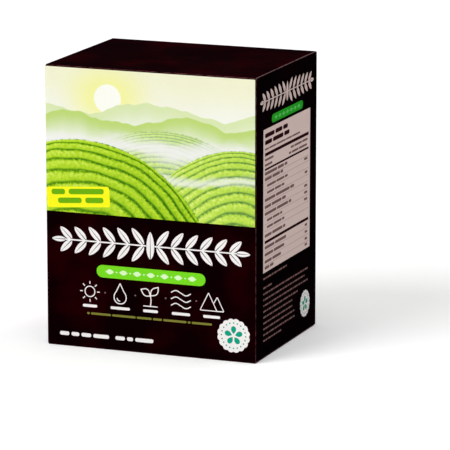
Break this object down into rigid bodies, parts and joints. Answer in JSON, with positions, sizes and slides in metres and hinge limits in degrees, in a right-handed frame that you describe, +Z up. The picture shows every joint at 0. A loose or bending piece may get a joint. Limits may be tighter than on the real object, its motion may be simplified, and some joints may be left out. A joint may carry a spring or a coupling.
{
  "type": "tea box",
  "caption": "Closed upright folding carton for powdered green tea, with tucked end panels, creased folds and a glued back corner seam.",
  "frame": {"origin": "middle of the base that the carton stands on", "axes": "+Z up; the front panel faces -Y and the right side panel faces +X"},
  "size_m": [0.11, 0.085, 0.14],
  "materials": {
    "dark_board": "near-black brown print under a satin varnish",
    "cut_board": "raw cut edge of grey-brown board, uneven and matt",
    "picture_print": "cream, lime and white picture print under a satin varnish",
    "white_print": "opaque white ink, satin",
    "lime_print": "bright green ink, satin",
    "yellow_print": "yellow ink, satin",
    "teal_print": "teal green ink, satin",
    "olive_print": "dull olive ink, satin",
    "facts_print": "pale pinkish grey ink, satin"
  },
  "bodies": {
    "root": {"carton": "dark_board"}
  },
  "joints": []
}
